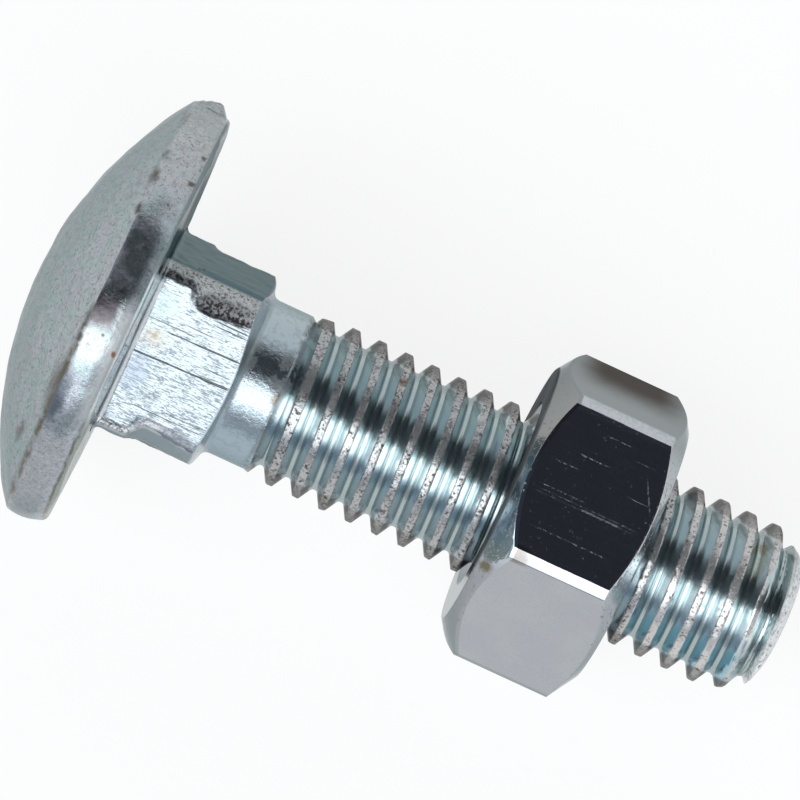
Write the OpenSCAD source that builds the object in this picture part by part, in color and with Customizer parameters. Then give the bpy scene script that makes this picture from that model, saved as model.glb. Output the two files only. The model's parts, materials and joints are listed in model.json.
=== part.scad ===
// Carriage bolt, M8 x 30, with its hexagon nut run on to the thread.
//
// Row frame: the bolt lies as it comes to rest on a flat surface, on the rim of
// its head and on one flat of its nut. +Z is up, +X runs from the head towards
// the tip, and the origin is the middle of the bearing face under the head.
// Each piece is first drawn upright, with its axis on Z, the bearing face at
// z = 0 and the tip at the top, and lay_down() then puts it in the row frame.

/* [Head] */
// Diameter of the head across its rim
head_d = 19.4; // [17.4:0.05:23.4]
// Height of the head, from the bearing face to the top of the dome
head_h = 4.95; // [4.1:0.05:6]
// Height of the rounded rim between the dome and the underside
rim_h = 1.7; // [1.35:0.05:2.1]
// How far the rim bulges past its two edges
rim_bulge = 0.12; // [0.1:0.01:0.4]
// Size of the bevel between the rim and the underside
rim_bevel = 0.3; // [0.1:0.05:0.4]
// Diameter of the flat bearing face under the head
seat_d = 12; // [11.6:0.1:16]
// How far the underside falls back from the bearing face at the rim
seat_relief = 0.2; // [0.1:0.05:0.5]
// Sideways offset of the forged head from the axis of the shank
head_offset = 0.2; // [0:0.05:0.5]

/* [Square neck] */
// Width of the square neck across its flats
neck_w = 8; // [6.6:0.05:9.6]
// Length of the square neck at its corners, from the bearing face
neck_len = 4.3; // [3.5:0.05:5.2]
// Radius of the neck's four long corners
neck_corner_r = 0.9; // [0.3:0.05:1.2]
// Height over which the end of the neck slopes from its corners to the shoulder
neck_slope_h = 0.45; // [0.2:0.05:0.8]
// Turn of the neck's flats from the nut's flats, about the axis
neck_turn = 26.5; // [0:0.5:45]

/* [Shank and thread] */
// Length of the bolt, from the bearing face to the tip
bolt_len = 30.5; // [25.4:0.05:40]
// Diameter of the plain shoulder between the neck and the thread
shoulder_d = 7.19; // [5.99:0.01:7.6]
// Distance from the bearing face to the start of the full thread
thread_start = 7.4; // [6.5:0.05:9]
// Outside diameter of the thread
thread_d = 7.68; // [7.2:0.01:9.25]
// Length of the run-out, where the thread rises from the shoulder
run_out = 0.6; // [0.3:0.05:0.8]
// Length of the pointed lead at the tip
lead_len = 1.4; // [1.1:0.05:1.8]
// Angle of the lead from the axis
lead_angle = 30; // [25:1:40]
// Height of the slight crown on the end of the tip
tip_crown = 0.2; // [0.05:0.05:0.4]

/* [Nut] */
// Width of the nut across its flats
nut_af = 12.75; // [12.4:0.05:15.5]
// Thickness of the nut
nut_h = 6.2; // [5.15:0.05:7.5]
// Distance from the bearing face to the near face of the nut
nut_pos = 17; // [10:0.05:18]
// Diameter of the flat ring on each face of the nut
nut_face_d = 11.8; // [10.8:0.05:12.1]
// Angle of the chamfer on the nut's near face, from the face
near_chamfer = 40; // [15:1:45]
// Angle of the chamfer on the nut's far face, from the face
far_chamfer = 32; // [15:1:45]
// Width of the narrow flat along each of the nut's six long corners
corner_flat = 0.5; // [0.1:0.05:0.8]
// Running clearance around the thread, on the radius
thread_clear = 0.05; // [0.02:0.01:0.1]
// Depth of the countersink at each end of the nut's bore
countersink = 0.45; // [0.2:0.05:0.7]

/* [Hidden] */
$fn = 180;
SQUARE_SIDES = 4;
HEX_SIDES = 6;
// How far a cutting or joining shape runs past the surface that it meets
overlap = 0.5;

// Head: the rim's bulge is one arc through its two edges, and the dome is the
// sphere through the rim's upper edge and the dome's top
edge_r = head_d / 2 - rim_bulge;
bulge_r = (pow(rim_h / 2, 2) + pow(rim_bulge, 2)) / (2 * rim_bulge);
bulge_centre_r = head_d / 2 - bulge_r;
rim_top = -rim_h - seat_relief;
rim_middle = -rim_h / 2 - seat_relief;
dome_rise = head_h + rim_top;
dome_r = (pow(edge_r, 2) + pow(dome_rise, 2)) / (2 * dome_rise);
underside_slope = seat_relief / (edge_r - seat_d / 2);
bevel_r = edge_r - rim_bevel;
bevel_z = -underside_slope * (bevel_r - seat_d / 2);
// How far above the crease the block behind the dome stops short
crease = 0.05;

// Neck and tip
neck_corner = (neck_w / 2 - neck_corner_r) * sqrt(2) + neck_corner_r;
neck_end = neck_len + neck_slope_h;
neck_slope = neck_slope_h / (neck_corner - shoulder_d / 2);
tip_r = thread_d / 2 - lead_len * tan(lead_angle);
tip_edge = bolt_len - tip_crown;
crown_r = (pow(tip_r, 2) + pow(tip_crown, 2)) / (2 * tip_crown);

// Nut
bore_r = thread_d / 2 + thread_clear;
nut_full_r = nut_af / 2 / cos(180 / HEX_SIDES);
corner_af = 2 * nut_full_r - corner_flat * tan(180 / HEX_SIDES);
chamfer_run = nut_full_r - nut_face_d / 2;
near_depth = chamfer_run * tan(near_chamfer);
far_depth = chamfer_run * tan(far_chamfer);

// Rest: the tilt at which the rim's arc and the nut's lowest point are level. The
// nut's lowest point is the far end of its lowest flat, halfway along that edge.
far_edge = nut_pos + nut_h - (nut_af - nut_face_d) / 2 * tan(far_chamfer);
rest_run = far_edge - rim_middle;
rest_drop = bulge_centre_r - nut_af / 2;
tilt = atan(rest_drop / rest_run) + asin(bulge_r / norm([rest_run, rest_drop]));

// Lays a piece down from its upright place into the row frame
module lay_down() {
    rotate([0, 90 + tilt, 0])
        children();
}

// The head's outside in half section: the dome's arc runs down until it meets the
// rim's arc, and the slab fills what lies behind them
module head_outline() {
    intersection() {
        translate([0, dome_r - head_h])
            circle(r = dome_r);
        union() {
            translate([0, -head_h - overlap])
                square([head_d / 2, head_h + overlap + rim_top - crease]);
            translate([bulge_centre_r, rim_middle])
                circle(r = bulge_r);
            translate([0, -head_h])
                square([bulge_centre_r, head_h]);
        }
    }
}

// Everything above the underside, which slopes back from the seat to the rim's bevel
module above_underside() {
    polygon([
        [0, -head_h - overlap],
        [head_d, -head_h - overlap],
        [head_d, bevel_z - (head_d - bevel_r)],
        [bevel_r, bevel_z],
        [seat_d / 2, 0],
        [0, 0]
    ]);
}

module head() {
    translate([0, head_offset, 0])
        rotate_extrude()
            intersection() {
                head_outline();
                above_underside();
            }
}

// A square with rounded corners: two crossing bars and a disc at each corner
module rounded_square(w, r) {
    square([w, w - 2 * r], center = true);
    square([w - 2 * r, w], center = true);
    for (turn = [0 : 360 / SQUARE_SIDES : 359])
        rotate(turn)
            translate([w / 2 - r, w / 2 - r])
                circle(r = r);
}

// The square neck, with its far end sloped from the corners down to the shoulder
module neck() {
    intersection() {
        rotate(neck_turn)
            translate([0, 0, -overlap])
                linear_extrude(neck_end + 2 * overlap)
                    rounded_square(neck_w, neck_corner_r);
        rotate_extrude()
            polygon([
                [0, -overlap],
                [neck_w, -overlap],
                [neck_w, neck_end - neck_slope * (neck_w - shoulder_d / 2)],
                [shoulder_d / 2, neck_end],
                [0, neck_end]
            ]);
    }
}

// Shoulder, run-out, thread and lead, with the thread at its outside diameter
module shank_section() {
    polygon([
        [0, -overlap],
        [shoulder_d / 2, -overlap],
        [shoulder_d / 2, thread_start - run_out],
        [thread_d / 2, thread_start],
        [thread_d / 2, tip_edge - lead_len],
        [tip_r - (tip_crown + overlap) * tan(lead_angle), bolt_len + overlap],
        [0, bolt_len + overlap]
    ]);
}

// What the slight crown on the tip leaves off
module past_crown() {
    difference() {
        translate([0, tip_edge - overlap])
            square([thread_d, tip_crown + 3 * overlap]);
        translate([0, bolt_len - crown_r])
            circle(r = crown_r);
    }
}

module shank() {
    rotate_extrude()
        difference() {
            shank_section();
            past_crown();
        }
}

module carriage_bolt() {
    color("lightsteelblue")
        lay_down()
            union() {
                head();
                neck();
                shank();
            }
}

// The turned outline of the nut, with its two chamfers
module nut_section() {
    polygon([
        [0, 0],
        [nut_face_d / 2, 0],
        [nut_full_r, near_depth],
        [nut_full_r, nut_h - far_depth],
        [nut_face_d / 2, nut_h],
        [0, nut_h]
    ]);
}

// A hexagonal prism, measured across its flats, with one flat facing down in the row
module hex_prism(across_flats) {
    rotate(180 / HEX_SIDES)
        cylinder(h = nut_h, r = across_flats / 2 / cos(180 / HEX_SIDES), $fn = HEX_SIDES);
}

// The nut's bore, widened at both ends by the countersinks
module bore_section() {
    polygon([
        [0, -overlap],
        [bore_r + countersink + overlap, -overlap],
        [bore_r, countersink],
        [bore_r, nut_h - countersink],
        [bore_r + countersink + overlap, nut_h + overlap],
        [0, nut_h + overlap]
    ]);
}

module hex_nut() {
    color("silver")
        lay_down()
            translate([0, 0, nut_pos])
                difference() {
                    intersection() {
                        hex_prism(nut_af);
                        rotate(180 / HEX_SIDES)
                            hex_prism(corner_af);
                        rotate_extrude()
                            nut_section();
                    }
                    rotate_extrude()
                        bore_section();
                }
}

carriage_bolt();
hex_nut();
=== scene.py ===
"""Looks of an M8 x 30 carriage bolt with its hexagon nut, in bright zinc plate.

Each piece is modelled upright in millimetres, with the bolt's axis on Z, the bearing face under the head
at z = 0 and the tip at the top. lay_down() then puts its mesh in the row frame, in metres.
"""
import json
from functools import partial, reduce
from math import atan2, cos, degrees, pi, radians, sin, sqrt, tan

import bpy
from mathutils import Matrix, Vector


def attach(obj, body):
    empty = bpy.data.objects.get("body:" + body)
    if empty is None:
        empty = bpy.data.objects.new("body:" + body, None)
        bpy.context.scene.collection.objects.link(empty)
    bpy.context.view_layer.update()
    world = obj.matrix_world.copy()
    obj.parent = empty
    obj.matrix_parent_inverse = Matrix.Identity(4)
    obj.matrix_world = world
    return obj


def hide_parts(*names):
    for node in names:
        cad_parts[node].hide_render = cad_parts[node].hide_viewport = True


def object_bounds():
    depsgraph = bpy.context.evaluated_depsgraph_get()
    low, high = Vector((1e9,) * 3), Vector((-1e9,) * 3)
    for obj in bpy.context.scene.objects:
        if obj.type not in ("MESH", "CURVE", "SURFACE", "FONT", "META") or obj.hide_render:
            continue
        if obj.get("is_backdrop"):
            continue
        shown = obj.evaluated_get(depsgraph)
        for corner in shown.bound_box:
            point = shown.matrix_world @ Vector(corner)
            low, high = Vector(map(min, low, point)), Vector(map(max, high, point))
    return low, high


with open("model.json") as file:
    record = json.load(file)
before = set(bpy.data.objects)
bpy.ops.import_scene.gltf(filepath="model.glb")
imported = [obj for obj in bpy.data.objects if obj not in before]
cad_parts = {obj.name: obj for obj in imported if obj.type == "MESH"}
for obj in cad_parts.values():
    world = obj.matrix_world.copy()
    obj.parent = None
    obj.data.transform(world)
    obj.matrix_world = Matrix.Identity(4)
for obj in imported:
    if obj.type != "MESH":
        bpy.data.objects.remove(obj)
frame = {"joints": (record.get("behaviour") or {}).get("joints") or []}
cad_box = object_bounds()

MM = 0.001

# The bolt's axis in the row frame is the line that the nut travels along
AXIS = Vector(frame["joints"][0]["axis"]).normalized()
TILT = atan2(-AXIS.z, AXIS.x)
SIDE = Vector((0, 1, 0))
LIFT = AXIS.cross(SIDE)

# Turn of the bolt's front, which its marks, stains and painted light and shade are placed from
FRONT = radians(194.5)

# Head: its rim runs from the crease at RIM_TOP to RIM_FOOT
HEAD_R = 9.7
HEAD_H = 4.95
HEAD_OFFSET = 0.2
RIM_TOP = -1.9
RIM_FOOT = -0.2
RIM_BULGE = 0.12
SEAT_R = 6.0
BURR_TURN = radians(104.5)

# Square neck: it is drawn up from NECK_BOTTOM to NECK_DRAWN and narrows by the share NECK_TAPER over its
# length. NECK_STEP is the height of the forging step on its corners, and NECK_SLOPE the fall of its end
# for each millimetre outwards.
NECK_W = 8.0
NECK_TAPER = 0.01
NECK_CORNER_R = 0.9
NECK_TURN = radians(26.5)
NECK_FILLET = 0.28
NECK_BOTTOM = -0.5
NECK_DRAWN = 7.5
NECK_LEVELS = 64
NECK_STEP = 1.6
NECK_END = 4.69
NECK_SLOPE = 0.266

# Shoulder, whose sag off the bolt's axis the outside of the thread shares
SHOULDER_R = 3.595
SHOULDER_END = 6.55
SHOULDER_SAG = 0.06

# Thread: CREST_START is the height of one crest at angle 0, and LEAD_DROP is the share of the radius
# that each level of the lead loses
PITCH = 1.25
CREST_R = 3.84
ROOT_R = 3.2
CREST_W = 0.29
FLANK_ANGLE = radians(30)
CREST_START = 8.107
BOLT_TURNS = 21
LEAD_START = 28.6
LEAD_END = 30.08
LEAD_ANGLE = radians(31)
LEAD_STEPS = 9
LEAD_STEP_H = 0.16
LEAD_DROP = 0.019
BOLT_LEN = 30.5

# Nut
NUT_POS = 17.0
NUT_H = 6.2
NUT_TOP = NUT_POS + NUT_H
NUT_R = 12.75 / 2 / cos(pi / 6)
NUT_FACE_R = 5.9
CORNER_FLAT = 0.5
EDGE_SOFTENING = 0.045
NEAR_CHAMFER = tan(radians(40))
FAR_CHAMFER = tan(radians(32))
CHAMFER_BULGE = 0.11
CHAMFER_STEPS = 10
NUT_MINOR_R = 3.4
NUT_TURNS = 9
THREAD_CLEAR = 0.05
COUNTERSINK = 0.45

# Divisions of one turn
FINE_STEPS = 192
TURN_STEPS = 120


# ---- Modelling helpers ----

def arc(centre, radius, start, end, steps):
    """Points (r, z) along an arc, with its angles in degrees from the outward direction."""
    angles = [radians(start + (end - start) * i / steps) for i in range(steps + 1)]
    return [(centre[0] + radius * cos(a), centre[1] + radius * sin(a)) for a in angles]


def rounded(before, corner, after, reach, steps):
    """Points (r, z) round a corner, leaving each leg at the given reach from it."""
    def along(target):
        run, rise = target[0] - corner[0], target[1] - corner[1]
        share = reach / sqrt(run * run + rise * rise)
        return corner[0] + run * share, corner[1] + rise * share

    first, last = along(before), along(after)
    points = []
    for i in range(steps + 1):
        t = i / steps
        weights = ((1 - t) ** 2, 2 * t * (1 - t), t * t)
        points.append(tuple(sum(w * p[k] for w, p in zip(weights, (first, corner, last))) for k in (0, 1)))
    return points


def make_active(piece):
    bpy.ops.object.select_all(action="DESELECT")
    piece.select_set(True)
    bpy.context.view_layer.objects.active = piece


def set_mode(mode):
    bpy.ops.object.mode_set(mode=mode)


def apply_place(location=False, rotation=False, scale=False):
    """Moves the active piece's own location, turn or size into its mesh."""
    bpy.ops.object.transform_apply(location=location, rotation=rotation, scale=scale)


def apply_modifier(piece, kind, **settings):
    modifier = piece.modifiers.new(kind.title(), kind)
    for name, value in settings.items():
        setattr(modifier, name, value)
    make_active(piece)
    bpy.ops.object.modifier_apply(modifier=modifier.name)


def named(name):
    """Names the piece that was just added, and its mesh."""
    piece = bpy.context.object
    piece.name = piece.data.name = name
    return piece


def draw_outline(name, points):
    """A chain of edges through the (r, z) points, extruded from one vertex."""
    bpy.ops.mesh.primitive_plane_add(size=1)
    piece = named(name)
    set_mode("EDIT")
    bpy.ops.mesh.select_mode(type="VERT")
    bpy.ops.mesh.select_all(action="SELECT")
    bpy.ops.mesh.merge(type="CENTER")
    bpy.ops.transform.translate(value=(points[0][0], 0, points[0][1]))
    for (r, z), (next_r, next_z) in zip(points, points[1:]):
        bpy.ops.mesh.extrude_vertices_move(TRANSFORM_OT_translate={"value": (next_r - r, 0, next_z - z)})
    set_mode("OBJECT")
    return piece


def merge_and_face_out(piece, distance=1e-4):
    make_active(piece)
    set_mode("EDIT")
    bpy.ops.mesh.select_all(action="SELECT")
    bpy.ops.mesh.remove_doubles(threshold=distance)
    bpy.ops.mesh.normals_make_consistent(inside=False)
    set_mode("OBJECT")


def turned(name, points, steps=FINE_STEPS):
    """A closed solid of revolution from an outline that starts and ends on the axis."""
    piece = draw_outline(name, points)
    apply_modifier(piece, "SCREW", steps=steps, render_steps=steps, use_merge_vertices=True)
    merge_and_face_out(piece)
    return piece


def deselect_mesh(piece, kind):
    """Selects nothing in the piece's mesh, and sets what is selected next: VERT or EDGE."""
    set_mode("OBJECT")
    make_active(piece)
    set_mode("EDIT")
    bpy.ops.mesh.select_mode(type=kind)
    bpy.ops.mesh.select_all(action="DESELECT")


def select_vertices(piece, wanted):
    """Selects the vertices whose place passes the test, and nothing else, and stays in edit mode."""
    deselect_mesh(piece, "VERT")
    set_mode("OBJECT")
    for vertex in piece.data.vertices:
        vertex.select = wanted(vertex.co)
    set_mode("EDIT")


def select_edges(piece, wanted):
    """Selects the edges whose two ends pass the test, and nothing else, and stays in edit mode."""
    deselect_mesh(piece, "EDGE")
    set_mode("OBJECT")
    for edge in piece.data.edges:
        edge.select = wanted(*(piece.data.vertices[i].co for i in edge.vertices))
    set_mode("EDIT")


def group_vertices(piece, name, wanted):
    """Puts the vertices whose place passes the test in a group of their own."""
    group = piece.vertex_groups.new(name=name)
    group.add([v.index for v in piece.data.vertices if wanted(v.co)], 1.0, "REPLACE")


def grow(piece, wanted, factor):
    """Moves the wanted vertices away from the bolt's axis, or towards it with a factor below 1."""
    select_vertices(piece, wanted)
    bpy.ops.transform.resize(value=(factor, factor, 1), center_override=(0, 0, 0))
    set_mode("OBJECT")


def thread_profile(crest_r, root_r, crest_w):
    """One pitch of thread as (r, z) points, from the middle of one root to the middle of the next."""
    half = PITCH / 2
    root_w = PITCH - crest_w - 2 * (crest_r - root_r) * tan(FLANK_ANGLE)
    root_corner, crest_corner = (root_r, root_w / 2), (crest_r, half - crest_w / 2)
    rise = [(root_r, 0)]
    rise += rounded((root_r, 0), root_corner, crest_corner, root_w * 0.49, 6)
    rise += rounded(root_corner, crest_corner, (crest_r, half), crest_w * 0.22, 2)
    return rise + [(r, PITCH - z) for r, z in reversed(rise)]


def close_end(piece, is_at_end):
    """Closes one open end of a thread with a fan of faces about its middle."""
    deselect_mesh(piece, "VERT")
    bpy.ops.mesh.select_non_manifold(extend=False, use_wire=False, use_boundary=True,
                                     use_multi_face=False, use_non_contiguous=False, use_verts=False)
    set_mode("OBJECT")
    rim = [v.index for v in piece.data.vertices if v.select and is_at_end(v.co)]
    deselect_mesh(piece, "VERT")
    set_mode("OBJECT")
    for index in rim:
        piece.data.vertices[index].select = True
    set_mode("EDIT")
    bpy.ops.mesh.extrude_edges_move()
    bpy.ops.mesh.merge(type="CENTER")
    set_mode("OBJECT")


def threaded_rod(name, crest_r, root_r, crest_w, crest_start, turns):
    """A closed rod with a right-hand thread, whose first full crest at angle 0 is at crest_start."""
    base = crest_start - PITCH / 2 - PITCH
    piece = draw_outline(name, [(r, z + base) for r, z in thread_profile(crest_r, root_r, crest_w)])
    apply_modifier(piece, "SCREW", steps=TURN_STEPS, render_steps=TURN_STEPS, screw_offset=PITCH,
                   iterations=turns)
    merge_and_face_out(piece)
    middle = base + PITCH * (turns + 1) / 2
    close_end(piece, lambda co: co.z < middle)
    close_end(piece, lambda co: co.z >= middle)
    merge_and_face_out(piece)
    return piece


def combine(piece, other, operation):
    """Joins, cuts or keeps the common part of two closed solids, and removes the second."""
    apply_modifier(piece, "BOOLEAN", object=other, operation=operation, solver="MANIFOLD")
    bpy.data.objects.remove(other)


def ripple(piece, size, height, group=""):
    """Uneven skin: a soft cloud of the given size moves the surface by up to half the height each way."""
    cloud = bpy.data.textures.new(piece.name + "_ripple", "CLOUDS")
    cloud.noise_scale = size
    cloud.noise_depth = 1
    apply_modifier(piece, "DISPLACE", texture=cloud, texture_coords="LOCAL", strength=height,
                   mid_level=0.5, vertex_group=group)


def lay_down(piece):
    """Puts an upright mesh in millimetres into the row frame, in metres."""
    make_active(piece)
    piece.scale = (MM, MM, MM)
    piece.rotation_euler = (0, pi / 2 + TILT, 0)
    apply_place(location=True, rotation=True, scale=True)


def finish_surface(piece, angle):
    """Smooth shading, with edges sharper than the angle kept crisp and flat faces kept flat."""
    make_active(piece)
    bpy.ops.object.shade_smooth_by_angle(angle=radians(angle))
    apply_modifier(piece, "WEIGHTED_NORMAL", mode="FACE_AREA", weight=50, keep_sharp=True)


# ---- The bolt's head ----

def head_outline():
    """The dome from its top, the bulging rim under its crease, and the underside in to the axis."""
    edge_r = HEAD_R - RIM_BULGE
    dome_rise = HEAD_H + RIM_TOP
    dome_r = (edge_r ** 2 + dome_rise ** 2) / (2 * dome_rise)
    dome_end = -90 + degrees(atan2(edge_r, dome_r - dome_rise))
    bulge_h = (RIM_FOOT - RIM_TOP) / 2
    bulge_r = (bulge_h ** 2 + RIM_BULGE ** 2) / (2 * RIM_BULGE)
    bulge_end = degrees(atan2(bulge_h, bulge_r - RIM_BULGE))
    dome = arc((0, dome_r - HEAD_H), dome_r, -90, dome_end, 52)
    rim = arc((HEAD_R - bulge_r, (RIM_TOP + RIM_FOOT) / 2), bulge_r, -bulge_end, 0, 8)
    crease = rounded(dome[-2], dome[-1], rim[1], 0.07, 3)
    lower_rim = [(HEAD_R - 0.03, -0.88), (HEAD_R - 0.08, -0.7)]
    bevel = rounded(lower_rim[-1], (HEAD_R - 0.26, -0.12), (8.0, RIM_FOOT * 0.45), 0.24, 7)
    underside = [(8.6, RIM_FOOT * 0.5), (7.9, RIM_FOOT * 0.42), (7.2, RIM_FOOT * 0.28), (SEAT_R, 0), (5, 0),
                 (3, 0), (0, 0)]
    return dome[:-1] + crease + rim[1:-1] + lower_rim + bevel + underside


def raise_burr(head):
    """A low burr on the upper side of the rim, a little narrower towards the underside."""
    for spread, low, factor in (
            (11, -1.75, 1.005), (11, -1.6, 1.005), (10, -1.45, 1.005), (10, -1.3, 1.006),
            (9, -1.15, 1.006), (9, -1.0, 1.006)):
        grow(head, lambda co: co.xy.length > 9.2 and low < co.z < -0.62
             and abs(atan2(co.y, co.x) - BURR_TURN) < radians(spread), factor)


def model_head():
    """The domed head, with the uneven skin of a forging, a little off the shank's axis."""
    head = turned("carriage_bolt_body", head_outline())
    ripple(head, 2.6, 0.18)
    ripple(head, 1.1, 0.06)
    make_active(head)
    head.location.y = HEAD_OFFSET
    apply_place(location=True)
    raise_burr(head)
    return head


# ---- The bolt's neck and shoulder ----

def corner_reach(co):
    """How far out a place is towards the neck's long corners, before the neck is turned."""
    return abs(co.x) + abs(co.y)


def draw_neck_base():
    """A flat square with rounded corners, and sides divided finely enough for ripples."""
    bpy.ops.mesh.primitive_plane_add(size=NECK_W, location=(0, 0, NECK_BOTTOM))
    neck = named("square_neck")
    apply_place(location=True)
    set_mode("EDIT")
    bpy.ops.mesh.bevel(affect="VERTICES", offset=NECK_CORNER_R, segments=16)
    select_edges(neck, lambda start, end: (start - end).length > 1)
    bpy.ops.mesh.subdivide(number_cuts=30)
    return neck


def neck_levels():
    """Heights up the neck, each with its share of the neck's width: a fillet, then a slight taper."""
    swell = NECK_FILLET / (NECK_W / 2)
    levels = [(0.0, 1 + swell)]
    levels += [(NECK_FILLET * (1 - cos(a)), 1 + swell * (1 - sin(a))) for a in (0.4, 0.8, 1.2, pi / 2)]
    rise = NECK_DRAWN - NECK_FILLET
    taper = NECK_TAPER * (NECK_DRAWN / NECK_END)
    steps = range(1, NECK_LEVELS + 1)
    return levels + [(NECK_FILLET + rise * i / NECK_LEVELS, 1 - taper * i / NECK_LEVELS) for i in steps]


def draw_neck_up(levels):
    """Extrudes the square through the levels, at the width that each one gives."""
    bpy.ops.mesh.select_all(action="SELECT")
    height, width = NECK_BOTTOM, 1.0
    for next_height, next_width in levels:
        bpy.ops.mesh.extrude_region_move(TRANSFORM_OT_translate={"value": (0, 0, next_height - height)})
        ratio = next_width / width
        bpy.ops.transform.resize(value=(ratio, ratio, 1), center_override=(0, 0, 0))
        height, width = next_height, next_width
    set_mode("OBJECT")


def wear_neck_corners(neck):
    """Past the forging step the long corners are rounder, and most of all just behind the step."""
    for past_step, end in ((-0.15, 7), (0.0, 7), (0.15, 4.0), (0.3, 3.4), (0.35, 2.8)):
        for reach in (6.65, 6.95, 7.2):
            grow(neck, lambda co: NECK_STEP + past_step < co.z < end and corner_reach(co) > reach, 0.9925)
    select_vertices(neck, lambda co: NECK_STEP - 0.4 < co.z < 4.6 and corner_reach(co) > 6.4)
    bpy.ops.mesh.vertices_smooth(factor=0.5, repeat=1)
    set_mode("OBJECT")
    group_vertices(neck, "worn", lambda co: corner_reach(co) > 6.3)


def sink(piece, distance):
    """Moves an upright piece off the bolt's axis, towards the low side of the bolt's front."""
    make_active(piece)
    piece.location = (-distance * sin(FRONT), distance * cos(FRONT), 0)
    apply_place(location=True)


def shoulder_outline():
    """What the neck is turned down to: its sloped end, a rounded corner and the plain shoulder."""
    def on_slope(r):
        return r, NECK_END - NECK_SLOPE * (r - SHOULDER_R)

    start, end = NECK_BOTTOM - 0.3, SHOULDER_END + 0.7
    points = [(0, start), (6.5, start), on_slope(6.5), on_slope(5.2), on_slope(4.4)]
    points += rounded(on_slope(4.4), (SHOULDER_R, NECK_END), (SHOULDER_R, 6), 0.3, 6)
    points += [(SHOULDER_R, z) for z in (5.4, 5.75, 6.1, SHOULDER_END)]
    return points + [(3.05, end), (0, end)]


def model_neck_and_shoulder():
    """The square neck, drawn up level by level and worn, then turned down to the shoulder at its end."""
    neck = draw_neck_base()
    draw_neck_up(neck_levels())
    wear_neck_corners(neck)
    neck.rotation_euler.z = NECK_TURN
    apply_place(rotation=True)
    merge_and_face_out(neck)
    ripple(neck, 0.7, 0.05)
    ripple(neck, 0.4, 0.045, "worn")
    turned_end = turned("shoulder_outline", shoulder_outline())
    sink(turned_end, SHOULDER_SAG)
    combine(neck, turned_end, "INTERSECT")
    return neck


# ---- The bolt's thread ----

def thread_outline():
    """The outside of the thread: its run-out from the shoulder, its lead and the crowned tip."""
    outside_r = CREST_R + 0.03
    tip_r = CREST_R - (LEAD_END - LEAD_START) * tan(LEAD_ANGLE)
    points = [(0, 5.9), (3.48, 5.9), (3.5, 6.35), (3.62, 6.65), (3.72, 7.1), (3.76, 7.5), (outside_r, 8.2),
              (outside_r, LEAD_START)]
    points += rounded((outside_r, LEAD_START), (tip_r, LEAD_END), (1.9, 30.34), 0.22, 4)
    return points + [(2.3, 30.28), (1.9, 30.34), (1.3, 30.42), (0.7, 30.47), (0, BOLT_LEN)]


def model_thread():
    """The rolled thread, with rough crests, drawn in level by level along the lead."""
    thread = threaded_rod("thread", CREST_R, ROOT_R, CREST_W, CREST_START - PITCH, BOLT_TURNS)
    group_vertices(thread, "crests", lambda co: co.xy.length > CREST_R - 0.05)
    ripple(thread, 0.3, 0.09, "crests")
    for level in range(LEAD_STEPS):
        grow(thread, lambda co: co.z > LEAD_START + LEAD_STEP_H * level, 1 - LEAD_DROP)
    envelope = turned("thread_outline", thread_outline())
    sink(envelope, SHOULDER_SAG)
    combine(thread, envelope, "INTERSECT")
    return thread


def model_bolt():
    bolt = model_head()
    combine(bolt, model_neck_and_shoulder(), "UNION")
    combine(bolt, model_thread(), "UNION")
    lay_down(bolt)
    finish_surface(bolt, 35)
    return bolt


# ---- The nut ----

def model_hex_bar():
    """A hexagonal prism with a narrow flat along each of its long corners, softened at its edges."""
    bpy.ops.mesh.primitive_cylinder_add(vertices=6, radius=NUT_R, depth=NUT_H,
                                        location=(0, 0, NUT_POS + NUT_H / 2))
    bar = named("hex_nut_body")
    apply_place(location=True)
    for kind, size, segments in (("WIDTH", CORNER_FLAT, 1), ("OFFSET", EDGE_SOFTENING, 2)):
        select_edges(bar, lambda start, end: abs(start.z - end.z) > NUT_H / 2)
        bpy.ops.mesh.bevel(affect="EDGES", offset_type=kind, offset=size, segments=segments)
    set_mode("OBJECT")
    return bar


def chamfer(face, inward, slope, bulge):
    """Points along a chamfer from the face outwards, rounded by the bulge at its middle."""
    reach = NUT_R + 0.5 - NUT_FACE_R
    shares = [i / CHAMFER_STEPS for i in range(CHAMFER_STEPS + 1)]
    return [(NUT_FACE_R + reach * t, face + inward * (reach * slope * t - 4 * bulge * t * (1 - t)))
            for t in shares]


def chamfer_nut(nut):
    """Turns both ends of the nut down to their chamfers, and softens the edges that this leaves."""
    near = chamfer(NUT_POS, 1, NEAR_CHAMFER, CHAMFER_BULGE)
    far = chamfer(NUT_TOP, -1, FAR_CHAMFER, 0)
    outline = [(0, NUT_POS)] + near + far[::-1] + [(0, NUT_TOP)]
    combine(nut, turned("nut_outline", outline), "INTERSECT")
    merge_and_face_out(nut, 0.01)
    apply_modifier(nut, "BEVEL", width=0.06, segments=2, limit_method="ANGLE", angle_limit=radians(18))
    merge_and_face_out(nut)


def tap_nut(nut):
    """Cuts the nut's thread in step with the bolt's, with its clearance, and a countersink at each end."""
    bore_r = CREST_R + THREAD_CLEAR
    crest_w = CREST_W + 2 * (0.8 * THREAD_CLEAR / cos(FLANK_ANGLE) - THREAD_CLEAR * tan(FLANK_ANGLE))
    bore = threaded_rod("bore_thread", bore_r, NUT_MINOR_R, crest_w, CREST_START + 6 * PITCH, NUT_TURNS)
    combine(nut, bore, "DIFFERENCE")
    inner_r = NUT_MINOR_R - 0.2
    for face, inward in ((NUT_POS, 1), (NUT_TOP, -1)):
        cone = [(0, face - inward), (bore_r + COUNTERSINK + 1, face - inward),
                (bore_r, face + inward * COUNTERSINK),
                (inner_r, face + inward * (COUNTERSINK + bore_r - inner_r)), (0, face + inward)]
        combine(nut, turned("countersink", cone, TURN_STEPS * 2), "DIFFERENCE")


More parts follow.
